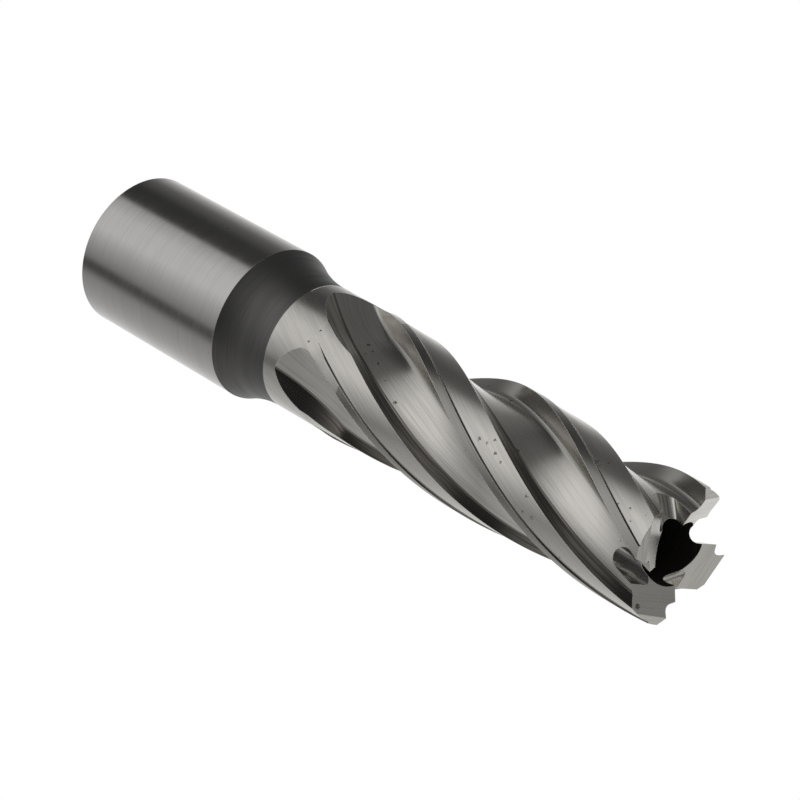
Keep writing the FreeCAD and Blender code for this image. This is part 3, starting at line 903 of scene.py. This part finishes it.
class Steels:
    """Materials of the steel, which share their coordinates, lines, pits, and worn edges with their painted
    highlight.
    """

    STRETCH = 40.0
    TOOTH_BACK = 0.75
    LINE_WIDTH = 0.14 * MM
    LINE_HEIGHT = 0.004 * MM
    FINE_SHARE = 0.6
    BROAD_SHARE = 0.4
    BROAD_SCALE = 0.12
    DULL_RANGE = (0.42, 0.62)
    DULL_ROUGHNESS = 0.12
    EDGE_WIDTH = 0.1 * MM
    PIT_COLOUR = (0.17, 0.16, 0.14, 1.0)
    PIT_DEPTH = 5.0
    PIT_ROUGHNESS = 0.3
    PIT_RANGE = (0.2, 0.55)
    RAG_SCALE = 4.5 / MM
    RAG_REACH = 0.7 * MM
    GRIT_SIZE = 0.12 * MM
    SPECK_SCALE = 0.45 / MM
    SPECK_RARITY = 0.8
    SPECK_SIZE = 0.05
    # Light colour along the edges: partly wear, partly painted highlight.
    EDGE_WEAR_AND_HIGHLIGHT_COLOUR = (0.8, 0.79, 0.76, 1.0)
    EDGE_GLINT = 0.55
    EDGE_RANGE = (0.995, 0.93)
    BURR_HIGHLIGHT_WIDTH = 0.12 * MM
    BURR_HIGHLIGHT_BEARING = 162.0
    BURR_HIGHLIGHT_RANGE = (0.94, 0.975)

    def __init__(self, sizes: CutterSizes, pit_places: list[Vector]) -> None:
        """Keep the sizes and the places of the pits, and build the shared groups."""
        self.sizes = sizes
        self.pit_places = pit_places
        self.directions_tree = self.directions()
        self.lines_tree = self.lines()
        self.pits_tree = self.pits()
        self.edge_wear_and_highlight_tree = self.edges()

    def directions(self) -> Tree:
        """Group of coordinates that are stretched along the ways of grinding."""
        w = TreeWriter.started("Shader", "Grinding directions")
        position, lead, pitch, tooth_start, stretch = w.takes(
            Position="Vector", Helix_Lead="Float", Pitch="Float", Tooth_Start="Float", Stretch="Float")
        place = w.split_xyz(position)
        radius = w.vector("LENGTH", w.join_xyz(place["X"], place["Y"], 0.0))
        w.give("Vector", "Around", w.join_xyz(
            w.math("DIVIDE", place["X"], stretch), w.math("DIVIDE", place["Y"], stretch),
            w.math("ADD", place["Z"], radius)))
        back = w.math("MULTIPLY", w.math("DIVIDE", place["Z"], lead), -FULL_TURN)
        outwards = w.vector("NORMALIZE", w.join_xyz(place["X"], place["Y"], 0.0))
        level = w.node("VectorRotate", {"rotation_type": "Z_AXIS"},
                       Vector=w.vector("SCALE", outwards, w.take("Float", "Radius")), Angle=back)
        w.give("Vector", "Helix", w.vector("ADD", level, w.join_xyz(
            0.0, 0.0, w.math("DIVIDE", place["Z"], stretch))))
        past = w.math("SUBTRACT", w.math("ARCTAN2", place["Y"], place["X"]), tooth_start)
        folded = w.math("ADD", w.math("FLOORED_MODULO", past, pitch),
                        w.math("MULTIPLY", pitch, -self.TOOTH_BACK))
        along = w.math("MULTIPLY", radius, w.math("SINE", folded))
        reach = w.math("MULTIPLY", radius, w.math("COSINE", folded))
        drop = w.math("MULTIPLY", along, w.take("Float", "Crest Slope"))
        w.give("Vector", "Tooth", w.join_xyz(
            reach, w.math("DIVIDE", along, stretch), w.math("SUBTRACT", place["Z"], drop)))
        aside = w.math("MULTIPLY", reach, w.take("Float", "Gullet Turn"))
        rise = w.math("MULTIPLY", reach, w.take("Float", "Gullet Slope"))
        w.give("Vector", "Gullet", w.join_xyz(
            w.math("DIVIDE", reach, stretch), w.math("ADD", along, aside),
            w.math("ADD", place["Z"], rise)))
        return w.tree

    def lines(self) -> Tree:
        """Group of fine and broad grinding lines, with the height and the dullness of each."""
        w = TreeWriter.started("Shader", "Grinding lines")
        vector, width = w.takes(Vector="Vector", Line_Width="Float")
        fine = w.node("TexNoise", Vector=vector, Scale=w.math("DIVIDE", 1.0, width), Detail=2.0)
        broad = w.node("TexNoise", Vector=vector, Detail=3.0,
                       Scale=w.math("DIVIDE", self.BROAD_SCALE, width))
        height = w.math("ADD", w.math("MULTIPLY", fine, self.FINE_SHARE),
                        w.math("MULTIPLY", broad, self.BROAD_SHARE))
        w.give("Float", "Height", height)
        dull = w.smooth(height, *self.DULL_RANGE)
        w.give("Float", "Dullness", dull)
        return w.tree

    def pits(self) -> Tree:
        """Group of the pits and stains that time left, with a few small ones strewn between."""
        w = TreeWriter.started("Shader", "Pits")
        position = w.take("Vector", "Position")
        ragged = w.node("TexNoise", Vector=position, Scale=self.RAG_SCALE, Detail=3.0)
        push = w.vector("SCALE", w.vector("SUBTRACT", ragged.outputs["Color"], (0.5, 0.5, 0.5)),
                        self.RAG_REACH)
        torn = w.vector("ADD", position, push)
        mask: Socket | float = 0.0
        for pit, place in zip(PITS, self.pit_places):
            near = w.math("DIVIDE", w.vector("DISTANCE", torn, place), pit.size * MM)
            mask = w.math("MAXIMUM", mask, w.math("SUBTRACT", 1.0, near))
        grit = w.node("TexNoise", Vector=position, Scale=1.0 / self.GRIT_SIZE, Detail=2.0)
        broken = w.math("MULTIPLY", mask, w.math("MULTIPLY", grit, 2.0))
        listed = w.smooth(broken, *self.PIT_RANGE)
        cells = w.node("TexVoronoi", Vector=torn, Scale=self.SPECK_SCALE)
        chance = w.math("GREATER_THAN", w.split_xyz(cells.outputs["Color"])["X"], self.SPECK_RARITY)
        dot = w.math("LESS_THAN", cells.outputs["Distance"], self.SPECK_SIZE)
        w.give("Float", "Mask", w.math("MAXIMUM", listed, w.math("MULTIPLY", chance, dot)))
        return w.tree

    def edges(self) -> Tree:
        """Group of worn edges and their painted highlight, from how far a rounded normal leaves the
        surface's own.

        A short burr where the neck meets the shoulder is painted as a thin highlight on the side that faces
        one bearing.
        """
        w = TreeWriter.started("Shader", "Rubbed edges")
        rounded = w.node("Bevel", {"samples": 6}, Radius=w.take("Float", "Width"))
        own = w.node("NewGeometry").outputs["Normal"]
        same = w.vector("DOT_PRODUCT", rounded, own)
        mask = w.smooth(same, *self.EDGE_RANGE)
        # A thin band at the burr's height, on the side that faces one bearing, is painted as a highlight.
        place = w.take("Vector", "Position")
        above = w.math("SUBTRACT", w.split_xyz(place)["Z"], w.take("Float", "Burr Height"))
        thin = w.math("LESS_THAN", w.math("ABSOLUTE", above), self.BURR_HIGHLIGHT_WIDTH)
        flat = w.vector("NORMALIZE", w.vector("MULTIPLY", place, (1.0, 1.0, 0.0)))
        facing = w.vector("DOT_PRODUCT", flat, polar(1.0, self.BURR_HIGHLIGHT_BEARING).to_3d())
        reach = w.smooth(facing, *self.BURR_HIGHLIGHT_RANGE)
        painted_burr_highlight = w.math("MULTIPLY", thin, reach)
        w.give("Float", "Mask", w.math("MAXIMUM", mask, painted_burr_highlight))
        w.give("Vector", "Normal", rounded)
        return w.tree

    def dress(self, material: bpy.types.Material, finish: SteelFinish) -> None:
        """Make one region's material a metal with its lines, pits and edges.

        Args:
            material: The material, still plain.
            finish: The region's finish.
        """
        s = self.sizes
        material.use_nodes = True
        w = TreeWriter(material.node_tree)
        shader = material.node_tree.nodes["Principled BSDF"]
        position = w.node("TexCoord").outputs["Object"]
        pitch = FULL_TURN / s.teeth
        directions = w.group(self.directions_tree, Position=position, Helix_Lead=s.helix_lead,
                             Pitch=pitch, Tooth_Start=-math.radians(s.flat_angle) - self.TOOTH_BACK * pitch,
                             Stretch=self.STRETCH, Radius=s.cutting_radius,
                             Crest_Slope=slope(s.crest_drop),
                             Gullet_Turn=slope(s.gullet_turn),
                             Gullet_Slope=slope(s.gullet_rise))
        lines = w.group(self.lines_tree, Vector=directions.outputs[finish.grain.value],
                        Line_Width=self.LINE_WIDTH)
        edges = w.group(self.edge_wear_and_highlight_tree, Width=self.EDGE_WIDTH, Position=position,
                        Burr_Height=s.shank_length + s.shoulder_length)
        pits = w.group(self.pits_tree, Position=position)
        dull = w.math("MULTIPLY", lines.outputs["Dullness"], finish.streak)
        colour = w.blend(dull, (*finish.colour, 1.0), (*finish.stain, 1.0))
        # Edges are painted lighter and less metallic, partly as wear and partly as painted highlight.
        edge_wear_and_highlight = w.math("MULTIPLY", edges.outputs["Mask"], finish.edge)
        colour = w.blend(edge_wear_and_highlight, colour, self.EDGE_WEAR_AND_HIGHLIGHT_COLOUR)
        pitted = w.math("MULTIPLY", pits.outputs["Mask"], finish.pitted)
        colour = w.blend(pitted, colour, self.PIT_COLOUR)
        rough = w.math("ADD", w.math("MULTIPLY", dull, self.DULL_ROUGHNESS), finish.roughness)
        rough = w.math("ADD", rough, w.math("MULTIPLY", pitted, self.PIT_ROUGHNESS))
        relief = w.node("Bump", Strength=finish.depth, Distance=self.LINE_HEIGHT,
                        Height=w.math("SUBTRACT", lines.outputs["Height"],
                                      w.math("MULTIPLY", pitted, self.PIT_DEPTH)),
                        Normal=edges.outputs["Normal"])
        w.feed(shader.inputs["Base Color"], colour)
        w.feed(shader.inputs["Roughness"], rough)
        w.feed(shader.inputs["Normal"], relief)
        if finish.edge > 0.0:
            w.feed(shader.inputs["Metallic"], w.math("SUBTRACT", 1.0, w.math(
                "MULTIPLY", edge_wear_and_highlight, self.EDGE_GLINT)))
        else:
            shader.inputs["Metallic"].default_value = 1.0


@dataclass(frozen=True)
class Glow:
    """Brightness of the studio at one bearing in degrees."""

    at: float
    level: float


@dataclass(frozen=True)
class Ring:
    """Ring of the studio's light, which takes over from the one below between two heights in degrees."""

    start: float
    full: float
    glows: tuple[Glow, ...]


RINGS = (
    Ring(-84.0, -72.0, (
        Glow(-90.0, 0.2), Glow(0.0, 0.1), Glow(30.0, 0.15), Glow(60.0, 0.42), Glow(90.0, 0.42),
        Glow(150.0, 0.26), Glow(230.0, 0.1), Glow(270.0, 0.2),
    )),
    Ring(-56.0, -47.0, (
        Glow(-90.0, 1.15), Glow(-70.0, 0.8), Glow(-50.0, 0.43), Glow(-30.0, 0.15), Glow(0.0, 0.04),
        Glow(31.0, 0.04), Glow(36.0, 0.48), Glow(60.0, 0.72), Glow(90.0, 0.76), Glow(110.0, 0.5),
        Glow(138.0, 0.24), Glow(143.0, 0.06), Glow(153.0, 0.06), Glow(166.0, 0.33),
        Glow(210.0, 0.52), Glow(250.0, 0.8), Glow(270.0, 1.15),
    )),
    Ring(-41.0, -33.0, (
        Glow(-90.0, 1.2), Glow(-70.0, 1.0), Glow(-50.0, 0.45), Glow(-30.0, 0.18), Glow(0.0, 0.1),
        Glow(26.0, 0.13), Glow(44.0, 0.55), Glow(66.0, 0.85), Glow(98.0, 0.83), Glow(128.0, 0.48),
        Glow(150.0, 0.33), Glow(190.0, 0.47), Glow(250.0, 0.8), Glow(270.0, 1.2),
    )),
    Ring(-20.0, 0.0, (
        Glow(-90.0, 0.75), Glow(-50.0, 0.5), Glow(-20.0, 0.12), Glow(25.0, 0.1), Glow(50.0, 0.25),
        Glow(82.0, 0.24), Glow(98.0, 0.02), Glow(132.0, 0.015), Glow(142.0, 0.16), Glow(165.0, 0.38),
        Glow(200.0, 0.5), Glow(235.0, 0.6), Glow(270.0, 0.75),
    )),
    Ring(8.0, 30.0, (
        Glow(-90.0, 0.4), Glow(-50.0, 0.24), Glow(0.0, 0.2), Glow(40.0, 0.04), Glow(150.0, 0.03),
        Glow(190.0, 0.3), Glow(230.0, 0.58), Glow(270.0, 0.4),
    )),
    Ring(64.0, 80.0, (Glow(-90.0, 0.5), Glow(270.0, 0.5))),
)


@dataclass
class Studio:
    """White ground, a tent of soft light and the camera."""

    camera: PictureCamera

    UNDER_LEVEL = 0.32
    GROUND_REACH = 3.0
    BEARING_TURN = 225.0

    def stand_camera(self) -> None:
        """Stand the camera where the picture's was, rolled as it was held."""
        data = bpy.data.cameras.new("camera")
        data.lens = self.camera.lens
        data.sensor_width = self.camera.sensor
        data.clip_start = 0.01
        data.clip_end = 10.0
        camera = bpy.data.objects.new("camera", data)
        camera.matrix_world = self.camera.pose
        bpy.context.scene.collection.objects.link(camera)
        bpy.context.scene.camera = camera

    def ground(self) -> None:
        """Lay a wide white ground that a camera sees as plain white."""
        reach = self.GROUND_REACH
        corners = [(-reach, -reach, 0.0), (reach, -reach, 0.0), (reach, reach, 0.0), (-reach, reach, 0.0)]
        mesh = bpy.data.meshes.new("ground")
        mesh.from_pydata(corners, [], [(0, 1, 2, 3)])
        floor = bpy.data.objects.new("ground", mesh)
        bpy.context.scene.collection.objects.link(floor)
        floor.visible_glossy = False
        material = bpy.data.materials.new("white_ground")
        material.use_nodes = True
        w = TreeWriter(material.node_tree)
        shader = material.node_tree.nodes["Principled BSDF"]
        shader.inputs["Base Color"].default_value = (0.9, 0.9, 0.9, 1.0)
        shader.inputs["Roughness"].default_value = 0.9
        white = w.node("Emission", Color=(1.0, 1.0, 1.0, 1.0), Strength=1.0)
        path = w.node("LightPath").outputs["Is Camera Ray"]
        mix = w.node("MixShader", Fac=path)
        w.feed(mix.inputs[1], shader)
        w.feed(mix.inputs[2], white)
        w.feed(material.node_tree.nodes["Material Output"].inputs["Surface"], mix)
        mesh.materials.append(material)

    def tent(self) -> None:
        """Light the cutter from a tent of soft light, in rings of panels and dark flags."""
        world = bpy.data.worlds.new("tent")
        world.use_nodes = True
        bpy.context.scene.world = world
        w = TreeWriter(world.node_tree)
        ray = w.split_xyz(w.node("TexCoord").outputs["Generated"])
        row_bearing = w.math("ARCTAN2", ray["Y"], ray["X"])
        turned = w.math("ADD", row_bearing, math.radians(self.BEARING_TURN) + FULL_TURN / 4)
        share = w.math("DIVIDE", w.math("FLOORED_MODULO", turned, FULL_TURN), FULL_TURN)
        rise = w.math("ARCSINE", ray["Z"])
        colour: object = (self.UNDER_LEVEL, self.UNDER_LEVEL, self.UNDER_LEVEL, 1.0)
        for ring in RINGS:
            shift = w.smooth(rise, math.radians(ring.start), math.radians(ring.full))
            colour = w.blend(shift, colour, self.ramp(w, share, ring.glows))
        glossy = w.node("Background", Strength=1.0)
        w.feed(glossy.inputs["Color"], colour)
        plain = w.node("Background", Strength=1.0)
        w.feed(plain.inputs["Color"], (1.0, 1.0, 1.0, 1.0))
        path = w.node("LightPath").outputs["Is Glossy Ray"]
        mix = w.node("MixShader", Fac=path)
        w.feed(mix.inputs[1], plain)
        w.feed(mix.inputs[2], glossy)
        w.feed(world.node_tree.nodes["World Output"].inputs["Surface"], mix)

    def ramp(self, w: TreeWriter, share: Socket, glows: tuple[Glow, ...]) -> Socket:
        """A ring of brightness, from a share of the turn that starts at the first glow."""
        node = w.node("ValToRGB", Fac=share)
        stops = node.color_ramp.elements
        while len(stops) < len(glows):
            stops.new(0.5)
        for stop, glow in zip(stops, glows):
            stop.position = (glow.at - glows[0].at) / 360.0
            stop.color = (glow.level, glow.level, glow.level, 1.0)
        return node.outputs["Color"]


def main() -> None:
    """Build the cutter and its studio, and report each piece."""
    logging.basicConfig(level=logging.INFO)
    mounts = {mount["name"]: mount["dims"] for mount in frame["record"]["mounts"]}
    sizes = CutterSizes(shank_radius=mounts["shank"]["r_mm"] * MM,
                        pilot_radius=mounts["pilot_bore"]["r_mm"] * MM,
                        slug_radius=mounts["slug_bore"]["r_mm"] * MM)
    camera = PictureCamera()
    piece = Cutter(sizes).place(camera)
    LOG.info("%s has %d faces", piece.name, len(piece.data.polygons))
    studio = Studio(camera)
    studio.stand_camera()
    studio.ground()
    studio.tent()
    bpy.context.scene.view_settings.view_transform = "Standard"


if __name__ == "__main__":
    main()
